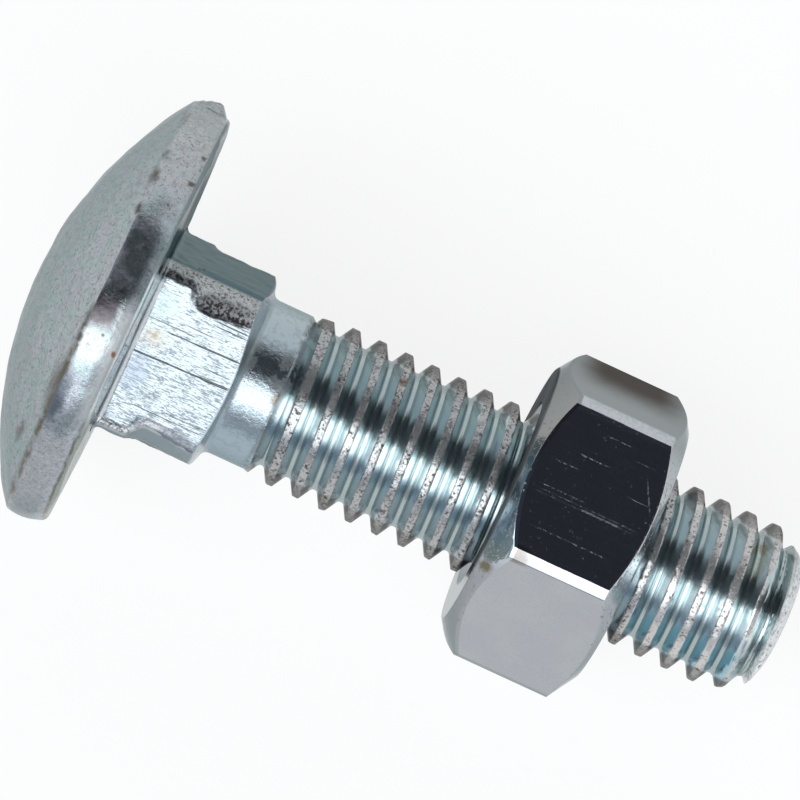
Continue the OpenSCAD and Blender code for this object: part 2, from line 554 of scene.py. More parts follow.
def model_nut():
    nut = model_hex_bar()
    chamfer_nut(nut)
    tap_nut(nut)
    lay_down(nut)
    finish_surface(nut, 22)
    return nut


# ---- Nodes ----

def feed(tree, source, target):
    """Links a socket to another one, or sets it to a plain value."""
    if isinstance(source, bpy.types.NodeSocket):
        tree.links.new(source, target)
    else:
        target.default_value = source


def add_node(tree, kind, *sources, **settings):
    """A new node with the settings, and with the sources fed to its inputs in turn."""
    node = tree.nodes.new(kind)
    for name, value in settings.items():
        setattr(node, name, value)
    for source, target in zip(sources, node.inputs):
        feed(tree, source, target)
    return node


def colour_socket(sockets, name):
    """The colour socket with this name, on a node that has one of each kind."""
    return next(socket for socket in sockets if socket.name == name and socket.type == "RGBA")


# ---- Finishes ----

def calc(operation, first, second=0.0):
    """A sum on patterns and numbers, at least one of them a pattern."""
    tree = next(value.id_data for value in (first, second) if isinstance(value, bpy.types.NodeSocket))
    return add_node(tree, "ShaderNodeMath", first, second, operation=operation).outputs[0]


def added(*values):
    return reduce(partial(calc, "ADD"), values)


def times(*values):
    return reduce(partial(calc, "MULTIPLY"), values)


def greatest(*values):
    return reduce(partial(calc, "MAXIMUM"), values)


def mix(*products):
    """The sum of several products, each given as its factors."""
    return added(*(times(*factors) for factors in products))


def inverse(share):
    return calc("SUBTRACT", 1.0, share)


def step(value, low, high):
    """0 below low and 1 above high, smooth between; low above high turns it round."""
    ends = (low, high, 0.0, 1.0) if low < high else (high, low, 1.0, 0.0)
    ramp = add_node(value.id_data, "ShaderNodeMapRange", value, *ends, interpolation_type="SMOOTHSTEP")
    return ramp.outputs[0]


def between(value, low, high, soft):
    """1 from low to high and 0 outside, with ends that fade over the soft distance each way."""
    return times(step(value, low - soft, low + soft), step(value, high + soft, high - soft))


def blend(share, first, second):
    """Mixes two colours, each plain or a pattern, by a share from 0 to 1."""
    mixed = add_node(share.id_data, "ShaderNodeMix", share, data_type="RGBA")
    for colour, name in ((first, "A"), (second, "B")):
        opaque = (*colour, 1.0) if isinstance(colour, tuple) else colour
        feed(share.id_data, opaque, colour_socket(mixed.inputs, name))
    return colour_socket(mixed.outputs, "Result")


class Finish:
    """A metal finish built from nodes, with its patterns in millimetres along the bolt's own axis.

    `across` runs over the bolt's front, from its low side, below 0, to its upper side, above 0. Layers keep
    the patterns that later ones use.
    """

    def __init__(self, name):
        self.material = bpy.data.materials.new(name)
        self.material.use_nodes = True
        self.tree = self.material.node_tree
        self.shader = self.tree.nodes["Principled BSDF"]
        laid = self.add("ShaderNodeTexCoord").outputs["Object"]
        move, turn, scale = (0, 0, 0), (0, -(pi / 2 + TILT), 0), (1 / MM, 1 / MM, 1 / MM)
        self.place = self.add("ShaderNodeMapping", laid, move, turn, scale).outputs["Vector"]
        self.x, self.y, self.z = self.add("ShaderNodeSeparateXYZ", self.place).outputs
        self.radius = calc("SQRT", mix((self.x, self.x), (self.y, self.y)))
        self.across = self.toward(FRONT - pi / 2)
        self.on_front = step(self.toward(FRONT), 0.0, 1.0)

    def add(self, kind, *sources, **settings):
        return add_node(self.tree, kind, *sources, **settings)

    def noise(self, scale, detail=3.0):
        """A cloud with this many features a millimetre, or as many in each direction as a tuple gives."""
        scales = scale if isinstance(scale, tuple) else (scale, scale, scale)
        stretched = self.add("ShaderNodeVectorMath", self.place, scales, operation="MULTIPLY")
        moment, size, rough = 0.0, 1.0, 0.55
        made = self.add("ShaderNodeTexNoise", stretched.outputs[0], moment, size, detail, rough)
        return made.outputs["Fac"]

    def toward(self, turn):
        """Distance from the bolt's axis in the direction with this turn about it."""
        return mix((self.x, cos(turn)), (self.y, sin(turn)))

    def side(self, low, high):
        """A step over the front, from its low side to its upper side."""
        return step(self.across, low, high)

    def strip(self, low, high, soft):
        """A strip that runs along the bolt, between two places across its front."""
        return between(self.across, low, high, soft)

    def shifted(self, value, amount, scale):
        """The value made uneven, by up to about half the amount each way."""
        return added(value, times(added(self.noise(scale), -0.5), amount))

    def mark(self, z, across, half_z, half_across, soft=0.5, ragged=0.3):
        """An uneven blot on the front, centred along the bolt and across it, in millimetres."""
        along = times(added(self.shifted(self.z, ragged, 3.1), -z), 1 / half_z)
        over = times(added(self.shifted(self.across, ragged, 3.7), -across), 1 / half_across)
        gap = calc("SQRT", mix((along, along), (over, over)))
        return times(self.on_front, step(gap, 1 + soft, 1 - soft))

    def scratch(self, start, end, across, width, lean=0.0):
        """A fine line on the front from one place along the bolt to another, fading at its ends."""
        middle = (start + end) / 2
        line = added(self.across, times(added(self.z, -middle), -lean), -across)
        line = self.shifted(line, 0.03, (1.0, 1.0, 1.5))
        fine = step(calc("ABSOLUTE", line), width, width * 0.3)
        return times(self.on_front, fine, between(self.z, start, end, min(0.3, (end - start) / 3)))

    def scratches(self, *lines):
        """Several scratches, each given as scratch() takes it."""
        return greatest(*(self.scratch(*line) for line in lines))

    def paint(self, colour, *shares):
        """Covers what is there with a colour, by the product of the shares."""
        self.colour = blend(times(*shares), self.colour, colour)

    def complete(self, roughness, height, depth, metal, edge):
        """Wires the finish up: depth is the relief in millimetres for a height of 1."""
        strength = 1.0
        bump = self.add("ShaderNodeBump", strength, depth * MM)
        feed(self.tree, height, bump.inputs["Height"])
        for source, name in ((self.colour, "Base Color"), (roughness, "Roughness"), (metal, "Metallic"),
                             (edge, "Specular Tint"), (bump.outputs["Normal"], "Normal")):
            feed(self.tree, source, self.shader.inputs[name])
        return self.material


# The tint of bright plate seen edge-on
EDGE_TINT = (0.55, 0.6, 0.6)


def find_patterns(zinc):
    """Clouds, grain and drawn lines that the bolt's layers share."""
    zinc.cloud = zinc.noise(0.7)
    zinc.hue = zinc.noise(1.2)
    zinc.patches = zinc.noise(1.9, 4.0)
    zinc.speck = zinc.noise(7.0, 2.0)
    zinc.grain = zinc.noise(15.0, 2.0)
    zinc.drawn = zinc.noise((11.0, 11.0, 0.7))
    zinc.lines = zinc.noise((19.0, 19.0, 2.6), 2.0)
    zinc.dashes = zinc.noise((25.0, 25.0, 9.0), 1.0)
    zinc.rolled = zinc.noise((1.6, 1.6, 10.0), 2.0)
    zinc.dents = zinc.noise(3.2)
    zinc.ragged = mix((zinc.speck, 0.5), (zinc.dashes, 0.5))
    mottled = mix((zinc.speck, 0.4), (zinc.grain, 0.35), (zinc.patches, 0.25))
    zinc.mottled = step(mottled, 0.4, 0.53)


def find_regions(zinc):
    """Shares that are 1 on one part of the bolt and 0 elsewhere, and the distance off its middle line."""
    zinc.head = step(zinc.z, 0.0, -0.1)
    zinc.dome = step(zinc.z, RIM_TOP + 0.05, RIM_TOP - 0.05)
    zinc.rim = times(zinc.head, inverse(zinc.dome), step(zinc.radius, 8.4, 9.2))
    zinc.shank = inverse(zinc.head)
    zinc.neck = times(zinc.shank, step(zinc.z, 4.75, 4.4))
    zinc.shoulder = between(zinc.z, 4.6, 6.75, 0.1)
    zinc.thread = step(zinc.z, 6.7, 6.9)
    zinc.past_nut = step(zinc.z, 23.5, 24.5)
    zinc.off_axis = calc("ABSOLUTE", zinc.across)
    cone = added(times(step(zinc.z, LEAD_START, 30.2), -0.98), CREST_R)
    lead = times(
        step(zinc.z, LEAD_START, LEAD_START + 0.1), step(added(zinc.radius, times(cone, -1)), -0.12, -0.02))
    run_out = step(zinc.z, 8.2, 7.2)
    reach = added(zinc.shifted(zinc.radius, 0.08, 9.0), times(run_out, 0.14))
    full_crest = times(zinc.thread, step(reach, CREST_R - 0.1, CREST_R - 0.06))
    tip_edge = times(step(zinc.shifted(zinc.z, 0.1, 2.0), 29.93, 30.02), step(zinc.radius, 2.2, 2.5))
    worn_lead = times(lead, step(zinc.z, 29.75, 29.6))
    zinc.crest = greatest(full_crest, worn_lead, tip_edge)
    zinc.flank = times(zinc.thread, inverse(zinc.crest))


def plate_bolt(zinc):
    """Plate with bluer clouds, a painted sheen high on the rim and painted shade low on it, bluer on the
    shoulder, with a painted bluer reflection on its low side.
    """
    zinc.colour = blend(step(zinc.hue, 0.38, 0.62), (0.39, 0.475, 0.48), (0.445, 0.46, 0.495))
    # Painted sheen on the rim's upper side
    zinc.paint((0.5, 0.49, 0.485), zinc.rim, zinc.side(4.5, 6.5), 0.6)
    # Painted shade on the rim's low side
    zinc.paint((0.345, 0.365, 0.395), zinc.rim, zinc.side(-4.5, -6.0))
    zinc.paint((0.43, 0.5, 0.53), zinc.shoulder, 0.8)
    # Painted bluer reflection on the shoulder's low side
    zinc.paint((0.33, 0.42, 0.48), zinc.shoulder, zinc.side(-1.6, -2.4), 0.8)


def colour_flanks(zinc):
    """Greenish flanks with a painted highlight along the middle, painted bluer reflections low down and
    painted shade high up, and duller roots.
    """
    zinc.paint(blend(step(zinc.hue, 0.35, 0.65), (0.5, 0.6, 0.595), (0.5, 0.57, 0.6)), zinc.flank)
    # Painted bluer reflection on the flanks' low side
    low = blend(zinc.side(-1.7, -2.4), (0.47, 0.575, 0.625), (0.475, 0.545, 0.57))
    zinc.paint(low, zinc.flank, zinc.side(-0.9, -1.6))
    # Painted highlight along the middle of the flanks
    zinc.paint((0.75, 0.84, 0.86), zinc.flank, zinc.strip(-1.25, -0.2, 0.2))
    # Painted shade high on the flanks
    zinc.paint((0.43, 0.53, 0.575), zinc.flank, zinc.strip(1.5, 2.2, 0.3), 0.45)
    zinc.paint((0.68, 0.74, 0.76), zinc.flank, zinc.past_nut, 0.3)
    # Painted bluer reflection low on the flanks past the nut
    zinc.paint((0.31, 0.505, 0.58), zinc.flank, zinc.past_nut, zinc.side(-1.6, -2.3), 0.9)
    zinc.paint((0.41, 0.475, 0.48), zinc.flank, step(zinc.radius, 3.3, 3.24))


def roughen_crests(zinc):
    """Mottled crests, warmer past the nut, with a paler end face, painted shade along the thread's outer
    sides and pits.
    """
    rough_metal = blend(zinc.mottled, (0.2, 0.195, 0.19), (0.44, 0.445, 0.445))
    rough_metal = blend(times(zinc.past_nut, 0.45), rough_metal, (0.79, 0.75, 0.72))
    zinc.paint(rough_metal, zinc.crest)
    towards_edge = added(0.35, times(step(zinc.radius, 1.2, 2.6), 0.65))
    zinc.end_face = times(step(zinc.shifted(zinc.z, 0.12, 2.0), 29.7, 29.82), towards_edge)
    zinc.paint(blend(zinc.mottled, (0.4, 0.4, 0.395), (0.81, 0.81, 0.81)), zinc.end_face)
    # Painted shade along the thread's outer sides, to either side of the front
    zinc.outer_side = times(zinc.thread, step(zinc.off_axis, 3.12, 3.3), step(zinc.radius, 3.3, 3.45))
    zinc.paint(blend(zinc.mottled, (0.13, 0.12, 0.115), (0.3, 0.295, 0.29)), zinc.outer_side, 0.7)
    zinc.pits = times(zinc.crest, step(zinc.speck, 0.42, 0.34), step(zinc.patches, 0.62, 0.45))
    zinc.paint((0.07, 0.055, 0.045), zinc.pits, 0.85)


def speckle_head(zinc):
    """Dark and pale specks, fine grain and dulled dents."""
    for pattern, low, high, share, tint in (
            (zinc.speck, 0.42, 0.27, 0.75, (0.13, 0.15, 0.14)),
            (zinc.speck, 0.48, 0.36, 0.42, (0.24, 0.26, 0.26)),
            (zinc.speck, 0.53, 0.66, 0.3, (0.5, 0.53, 0.54)),
            (zinc.grain, 0.5, 0.32, 0.42, (0.19, 0.21, 0.21)),
            (zinc.grain, 0.55, 0.7, 0.4, (0.52, 0.55, 0.56)),
            (zinc.dents, 0.42, 0.7, 0.4, (0.27, 0.275, 0.3))):
        zinc.paint(tint, zinc.head, step(pattern, low, high), share)


def shade_underside(zinc):
    """Painted shade on the underside, paler and greener at its low side, and a painted highlight along its
    edge.
    """
    in_front = times(zinc.strip(-4.2, 2.6, 0.4), 0.65)
    zinc.underside = times(
        step(zinc.z, -0.31, -0.23), step(zinc.z, 0.1, 0.0), step(zinc.radius, 4.6, 5.0), inverse(in_front))
    zinc.upward = zinc.side(-6.5, -1.5)
    zinc.paint(blend(zinc.upward, (0.3, 0.33, 0.29), (0.19, 0.24, 0.25)), zinc.underside, 0.9)
    # Painted highlight: a bright line along the edge of the underside, on the front
    zinc.paint(
        (0.75, 0.9, 0.9), zinc.head, zinc.strip(-4.0, 2.2, 0.3),
        between(zinc.z, -0.25, -0.1, 0.03), step(zinc.radius, 9.1, 9.2), zinc.on_front)


def stain_head(zinc):
    """Brown along the crease and under the rim's edge, and spots of rust."""
    wavy_z = zinc.shifted(zinc.z, 0.14, 1.7)
    low_side = zinc.side(0.6, -0.6)
    short_runs = ((8.5, 9.1, 0.2), (6.8, 7.2, 0.15), (5.7, 6.3, 0.15), (4.3, 4.7, 0.12))
    stained = greatest(low_side, *(zinc.strip(*run) for run in short_runs))
    patchy = added(0.45, times(step(zinc.patches, 0.4, 0.55), 0.55))
    zinc.crease = times(between(wavy_z, -2.05, -1.8, 0.1), stained, patchy)
    zinc.paint((0.085, 0.07, 0.055), zinc.crease)
    patchy = added(0.5, times(step(zinc.patches, 0.3, 0.5), 0.5))
    zinc.under_edge = times(
        zinc.rim, between(wavy_z, -0.36, -0.24, 0.05), added(0.12, times(low_side, 0.88)), patchy)
    zinc.paint((0.09, 0.075, 0.055), zinc.under_edge, 0.85)
    rust = greatest(
        zinc.mark(-0.42, 7.53, 0.12, 0.08), zinc.mark(-0.42, 6.29, 0.15, 0.11),
        zinc.mark(-1.97, 4.5, 0.07, 0.25), times(zinc.mark(-2.6, -5.96, 0.14, 0.4, 0.8), 0.7),
        zinc.mark(-1.07, -0.85, 0.06, 0.09), times(zinc.mark(-2.0, -3.4, 0.3, 1.0, 0.9), 0.75),
        times(zinc.mark(-2.0, 6.0, 0.12, 0.4, 0.9), 0.6), zinc.mark(-0.95, 5.1, 0.05, 0.06))
    zinc.paint((0.085, 0.07, 0.045), zinc.head, rust, 0.85)


def tarnish_rim(zinc):
    """Painted reflections on the rim: a dark patch at its middle, a paler strip and a greyed patch; and a
    spot of fresh rust.
    """
    # Painted shade: a dark patch at the rim's middle, lighter towards its low side
    tarnish = times(
        zinc.rim, between(zinc.shifted(zinc.across, 1.2, 1.4), -0.7, 1.0, 0.5), zinc.on_front,
        step(zinc.shifted(zinc.z, 0.5, 1.6), -0.6, -1.1))
    zinc.paint(blend(zinc.side(-0.9, 0.7), (0.155, 0.143, 0.15), (0.055, 0.05, 0.057)), tarnish)
    # Painted sheen: a paler strip low on the rim
    zinc.paint((0.56, 0.57, 0.57), zinc.rim, step(zinc.z, -0.85, -0.65), zinc.strip(-4.5, 0.5, 0.5), 0.6)
    # Painted shade: a greyed patch on the rim's low side
    zinc.paint((0.1, 0.115, 0.14), zinc.rim, zinc.mark(-1.7, -3.9, 0.32, 1.0, 0.5, 0.6), 0.85)
    zinc.paint((0.22, 0.085, 0.03), zinc.mark(-0.34, -1.4, 0.1, 0.14), 0.95)


def film_upper_face(zinc):
    """Painted shade on the neck's upper face, streaked along the bolt, with two dots."""
    zinc.upper_face = times(zinc.neck, step(zinc.toward(NECK_TURN + pi / 2), 3.62, 3.8))
    # Painted shade on the upper face, streaked along the bolt
    film = mix((zinc.drawn, 0.7), (zinc.speck, 0.3))
    zinc.paint(blend(film, (0.03, 0.07, 0.085), (0.17, 0.235, 0.255)), zinc.upper_face)
    dots = greatest(zinc.mark(1.3, 3.3, 0.06, 0.05), zinc.mark(1.5, 3.36, 0.05, 0.06))
    zinc.paint((0.02, 0.02, 0.02), dots)


def score_near_face(zinc):
    """The face towards the front is scored along the bolt, with faint tints and some deeper scores."""
    zinc.facing = zinc.toward(NECK_TURN + pi)
    zinc.near_face = times(zinc.neck, step(zinc.facing, 3.78, 3.9), inverse(zinc.upper_face))
    wear = mix((zinc.lines, 0.55), (zinc.dashes, 0.3), (zinc.patches, 0.15), (zinc.side(2.0, -3.0), -0.035))
    zinc.paint(blend(step(wear, 0.41, 0.5), (0.125, 0.145, 0.16), (0.315, 0.345, 0.36)), zinc.near_face)
    for place, size, tint, share in (
            ((0.65, -1.7), (0.5, 0.8), (0.17, 0.2, 0.26), 0.45),
            ((0.6, 1.3), (0.5, 0.6), (0.27, 0.33, 0.34), 0.5),
            ((0.75, -0.1), (0.6, 0.45), (0.27, 0.25, 0.21), 0.5),
            ((0.8, -0.02), (0.12, 0.1), (0.2, 0.15, 0.08), 0.7)):
        zinc.paint(tint, zinc.near_face, zinc.mark(*place, *size, 0.6), share)
    deep = zinc.scratches(
        (-0.2, 4.6, -0.88, 0.04, 0.03), (3.3, 4.7, -0.83, 0.06, 0.03), (1.3, 4.6, 0.37, 0.03, 0.02),
        (2.6, 4.3, 0.38, 0.045, 0.02), (2.9, 4.3, 1.6, 0.03), (3.0, 4.3, 1.41, 0.025))
    faint = zinc.scratches(
        (1.9, 3.0, 0.92, 0.025), (3.2, 4.3, -0.4, 0.03), (2.4, 4.3, -2.82, 0.03), (1.2, 4.3, -3.05, 0.025),
        (3.4, 4.4, 1.75, 0.025), (0.3, 2.3, 0.62, 0.02))
    zinc.scores = greatest(deep, times(faint, 0.45))
    zinc.paint((0.05, 0.055, 0.075), zinc.neck, zinc.scores, 0.85)


def wear_corner(zinc):
    """The upper long corner is pale and speckled with wear, with a ragged dark pattern of painted shade."""
    zinc.corner = times(zinc.neck, zinc.strip(1.5, 3.15, 0.05), zinc.on_front, inverse(zinc.near_face))
    zinc.paint((0.6, 0.61, 0.6), zinc.corner, 0.8)
    # Painted shade: a ragged dark pattern along the corner
    zinc.paint((0.07, 0.06, 0.055), zinc.corner, step(zinc.ragged, 0.49, 0.42), 0.8)


def wear_low_side(zinc):
    """A ragged pale border where the near face meets the low one, further in past the forging step: wear
    with a painted highlight up to pure white.
    """
    worn_back = times(step(zinc.z, 1.25, 2.0), added(0.7, times(step(zinc.z, 2.6, 4.2), -0.15)))
    zinc.low_reach = added(zinc.toward(NECK_TURN + 1.5 * pi), worn_back)
    border = times(zinc.neck, between(zinc.low_reach, 3.2, 3.6, 0.08), step(zinc.facing, 2.6, 2.9))
    # Painted highlight on the worn border, up to pure white
    zinc.paint(blend(step(zinc.ragged, 0.42, 0.54), (0.6, 0.68, 0.73), (1.0, 1.0, 1.0)), border, 0.85)


def dirty_neck(zinc):
    """Dirt and painted shade at the upper corner, a painted highlight at the root over painted shade, a
    dull end slope with painted shade across its middle, and a darker, marked low side.
    """
    level = added(zinc.facing, times(zinc.z, 0.0085))
    # Dark mottled dirt and painted shade near the upper corner
    zinc.grime = times(
        zinc.neck, step(level, 3.985, 3.94),
        greatest(zinc.mark(3.1, 2.0, 1.5, 0.55, 0.4), zinc.mark(0.6, 2.5, 1.0, 0.26, 0.4)))
    zinc.paint(blend(step(zinc.speck, 0.45, 0.57), (0.045, 0.042, 0.046), (0.3, 0.3, 0.305)), zinc.grime)
    # Painted highlight on the fillet at the neck's root, with painted shade on the head's underside just
    # below it
    zinc.seat_edge = times(
        zinc.on_front, between(zinc.shifted(zinc.across, 0.3, 2.0), -4.1, 2.2, 0.15),
        between(zinc.shifted(zinc.z, 0.07, 2.5), -0.16, 0.2, 0.04))
    zinc.paint(blend(step(zinc.z, 0.02, 0.09), (0.27, 0.31, 0.32), (0.85, 0.89, 0.9)), zinc.seat_edge)
    above_slope = added(zinc.z, times(zinc.radius, NECK_SLOPE), -NECK_END - NECK_SLOPE * SHOULDER_R)
    on_slope = times(
        step(above_slope, -0.07, -0.03), step(zinc.radius, 3.66, 3.76), step(zinc.z, 4.8, 4.7), zinc.shank)
    zinc.end_slope = greatest(on_slope, times(between(zinc.z, 4.62, 4.86, 0.08), 0.7))
    # Painted shade across the middle of the dull end slope
    dull = blend(zinc.strip(0.1, 1.6, 0.4), (0.31, 0.38, 0.42), (0.13, 0.155, 0.165))
    zinc.paint(dull, zinc.end_slope, 0.9)
    zinc.low_side = times(zinc.neck, step(zinc.low_reach, 3.7, 3.84))
    zinc.paint((0.24, 0.29, 0.31), zinc.low_side)
    zinc.low_marks = times(zinc.neck, zinc.mark(0.75, -4.2, 0.9, 0.2, 0.4), step(zinc.ragged, 0.53, 0.46))
    zinc.paint((0.1, 0.125, 0.14), zinc.low_marks, 0.8)


def roughen_shoulder(zinc):
    """Mottling on the shoulder, and a dark patch at its middle, partly rough plate and partly painted
    shade.
    """
    zinc.paint((0.25, 0.29, 0.31), zinc.shoulder, step(zinc.dents, 0.5, 0.62), 0.3)
    rough_middle = times(zinc.shoulder, zinc.strip(-1.7, -0.1, 0.2), step(zinc.grain, 0.48, 0.6), 0.6)
    zinc.paint((0.24, 0.27, 0.3), rough_middle)
    thread_end = between(zinc.shifted(zinc.z, 0.3, 1.5), 6.5, 6.85, 0.12)
    # Dark rough plate at the thread's start, and painted shade on the patch at the middle
    roughened = greatest(
        times(zinc.mark(6.35, 0.8, 0.3, 0.85), 0.8), times(thread_end, 0.5),
        times(zinc.mark(4.95, 0.8, 0.16, 0.7), 0.6))
    zinc.roughened = times(roughened, step(zinc.patches, 0.36, 0.46))
    zinc.paint(blend(zinc.mottled, (0.045, 0.04, 0.042), (0.15, 0.145, 0.14)), zinc.roughened)


def spot_thread(zinc):
    """Brown spots where the plate has broken."""
    spots = greatest(
        zinc.mark(6.5, -0.32, 0.13, 0.3), times(zinc.crest, zinc.mark(11.15, 2.6, 0.26, 0.2)),
        times(zinc.thread, zinc.mark(28.1, 2.6, 0.2, 0.25)))
    zinc.paint((0.16, 0.115, 0.07), spots, 0.7)
    zinc.paint((0.36, 0.32, 0.2), zinc.thread, zinc.mark(28.2, 1.9, 0.16, 1.0), 0.5)


def relief(zinc):
    """Height of the finest unevenness: grain, dents, tool marks, pits and scores."""
    grain_depth = mix((0.1,), (zinc.head, 0.3), (zinc.crest, 0.5), (zinc.shoulder, 0.6))
    dent_depth = mix((zinc.dome, 0.6), (zinc.rim, 0.9), (zinc.shoulder, 1.6))
    return mix(
        (zinc.cloud, 1.0), (zinc.grain, grain_depth), (zinc.dents, dent_depth),
        (zinc.patches, zinc.rim, 0.8), (zinc.ragged, zinc.corner, 3.5), (zinc.rolled, zinc.flank, 0.3),
        (zinc.drawn, zinc.neck, 0.5), (zinc.pits, -1.2), (zinc.scores, zinc.neck, -1.5))


def dullness(zinc):
    """How far dirt, wear and rough plate scatter the light instead of mirroring it."""
    rim_middle = between(zinc.shifted(zinc.z, 0.5, 1.4), -1.85, -0.62, 0.2)
    flank_end = times(zinc.flank, between(zinc.off_axis, 2.9, 3.2, 0.1))
    dull = mix(
        (zinc.crest, 0.22), (zinc.rim, 0.06), (zinc.corner, 0.45), (zinc.crease, 0.7), (zinc.grime, 0.55),
        (zinc.seat_edge, 0.8), (zinc.end_slope, 0.75), (zinc.roughened, 0.8), (zinc.low_side, 0.5),
        (zinc.low_marks, 0.6), (zinc.end_face, 0.6), (zinc.under_edge, 0.3),
        (zinc.rim, inverse(rim_middle), 0.4), (zinc.rim, step(zinc.hue, 0.42, 0.75), 0.2), (flank_end, 0.4))
    return calc("MINIMUM", dull, 1.0)


def bolt_zinc():
    """Bright zinc on the bolt: speckled on the head, scored on the neck and greenish on the thread."""
    zinc = Finish("bright zinc on the bolt")
    for layer in (
            find_patterns, find_regions, plate_bolt, colour_flanks, roughen_crests, speckle_head,
            shade_underside, stain_head, tarnish_rim, film_upper_face, score_near_face, wear_corner,
            wear_low_side, dirty_neck, roughen_shoulder, spot_thread):
        layer(zinc)
    roughness = mix(
        (0.11,), (zinc.dome, 0.16), (zinc.rim, 0.06), (zinc.crest, 0.11), (zinc.shoulder, 0.08),
        (zinc.corner, 0.15), (zinc.upper_face, 0.15), (zinc.drawn, 0.08), (zinc.flank, 0.06))
    # Edge tints that go with the painted shade on the underside and along the thread's outer sides, and
    # with the neck's darker low side
    edge = blend(times(zinc.underside, zinc.upward), EDGE_TINT, (0.18, 0.23, 0.24))
    edge = blend(zinc.outer_side, edge, (0.3, 0.29, 0.28))
    edge = blend(zinc.low_side, edge, (0.32, 0.36, 0.38))
    return zinc.complete(roughness, relief(zinc), 0.012, inverse(dullness(zinc)), edge)


def plate_nut(zinc):
    """Plate with faint clouds and fine grain."""
    zinc.cloud = zinc.noise(0.5)
    zinc.speck = zinc.noise(6.0, 2.0)
    zinc.grain = zinc.noise(12.0, 2.0)
    zinc.colour = blend(step(zinc.cloud, 0.35, 0.65), (0.41, 0.43, 0.46), (0.43, 0.45, 0.475))
    zinc.paint((0.345, 0.36, 0.385), step(zinc.grain, 0.5, 0.36), 0.3)


def brown_upper_flat(zinc):
    """Painted shade on the flat behind the front one, with a painted dark brown reflection towards the
    back.
    """
    flat = step(zinc.toward(radians(120)), 6.28, 6.34)
    towards_back = step(zinc.shifted(zinc.toward(FRONT), 0.8, 0.6), 3.7, -0.1)
    middle = between(zinc.shifted(zinc.z, 0.6, 0.6), 18.1, 22.4, 1.0)
    # Painted shade over the whole flat, and a darker painted reflection of shade towards the back
    zinc.paint((0.345, 0.34, 0.35), flat, 0.8)
    zinc.browned = times(flat, towards_back, middle)
    zinc.paint((0.066, 0.055, 0.048), zinc.browned, 0.9)


def wear_nut_corners(zinc):
    """A pale speckled flat along the upper corner, and a brown end on the lower one."""
    upper = step(zinc.toward(radians(150)), 7.06, 7.14)
    speckled = added(0.62, times(step(zinc.speck, 0.4, 0.55), 0.38))
    zinc.paint((0.53, 0.545, 0.56), upper, speckled)
    lower = step(zinc.toward(radians(210)), 7.1, 7.16)
    zinc.paint((0.27, 0.25, 0.24), lower, step(zinc.shifted(zinc.z, 1.0, 1.3), 19.2, 18.3))


def above_cone(zinc, slope, end):
    """How far a point is above the cone that cuts the chamfer which starts at that end of the nut."""
    return added(zinc.z, times(zinc.radius, -slope), NUT_FACE_R * slope - end)


def colour_chamfers(zinc):
    """Speckled chamfers with painted shade on their upper and low sides, a painted bluer sheen at the
    middle and a painted sheen on the far one, with a stain on the near one.
    """
    outer = step(zinc.radius, 5.2, 5.6)
    chamfer = times(outer, step(above_cone(zinc, NEAR_CHAMFER, NUT_POS), 0.1, 0.03))
    near = times(chamfer, step(zinc.z, 17.9, 17.4))
    far = times(outer, step(above_cone(zinc, -FAR_CHAMFER, NUT_TOP), -0.1, -0.03))
    # Painted shade on the chamfers' upper and low sides, and a painted bluer sheen between them
    zinc.paint((0.29, 0.295, 0.295), chamfer, zinc.side(1.5, 3.2))
    zinc.paint((0.335, 0.35, 0.375), chamfer, zinc.side(-2.4, -3.6))
    zinc.paint((0.54, 0.635, 0.71), chamfer, zinc.strip(-2.4, 1.8, 0.9))
    # Painted sheen on the far chamfer across the front
    zinc.paint((0.58, 0.6, 0.62), far, zinc.strip(-2.0, 4.5, 0.6), 0.8)
    zinc.dots = times(greatest(near, far), step(zinc.speck, 0.4, 0.3))
    zinc.paint((0.16, 0.15, 0.14), zinc.dots, 0.5)
    zinc.paint((0.14, 0.115, 0.055), zinc.mark(17.35, -2.95, 0.28, 0.2), 0.85)


def scratch_front_flat(zinc):
    """The front flat has fine scratches along the bolt, a slanted nick, hairlines and dust."""
    front_flat = step(zinc.toward(pi), 6.3, 6.35)
    lines = zinc.scratches(
        (17.8, 22.4, 0.84, 0.035), (17.9, 22.5, 0.99, 0.03), (17.9, 20.1, 1.2, 0.025),
        (19.6, 21.0, 4.13, 0.025), (21.2, 22.2, 3.66, 0.035), (18.9, 20.5, 2.97, 0.02),
        (17.9, 19.3, 2.34, 0.025), (21.4, 22.6, 2.15, 0.025), (18.4, 21.8, -0.55, 0.025),
        (18.6, 20.2, 4.9, 0.04))
    bold = zinc.scratch(19.8, 21.8, 0.86, 0.05)
    nick = zinc.scratch(22.0, 22.7, 2.5, 0.09, -1.9)
    hair = zinc.noise((9.0, 9.0, 0.35), 2.0)
    hairlines = step(calc("ABSOLUTE", added(hair, -0.5)), 0.02, 0.0)
    dust = step(zinc.speck, 0.34, 0.28)
    broken = step(zinc.noise(5.0), 0.38, 0.6)
    marks = greatest(
        times(lines, added(0.28, times(broken, 0.27))), times(bold, added(0.5, times(broken, 0.4))),
        times(nick, added(0.4, times(broken, 0.6))), times(hairlines, 0.14), times(dust, 0.4))
    zinc.worn = times(front_flat, marks)
    zinc.paint((0.62, 0.63, 0.65), zinc.worn, 0.3)


def darken_near_face(zinc):
    """Painted shade on the ring around the bore on the near face, fading out towards its low side, and
    darker in clouds.
    """
    zinc.near_face = times(step(zinc.z, NUT_POS + 0.1, NUT_POS + 0.03), zinc.side(-4.5, -1.5))
    dark = blend(step(zinc.cloud, 0.4, 0.6), (0.15, 0.155, 0.16), (0.225, 0.23, 0.235))
    zinc.paint(dark, zinc.near_face, 0.9)


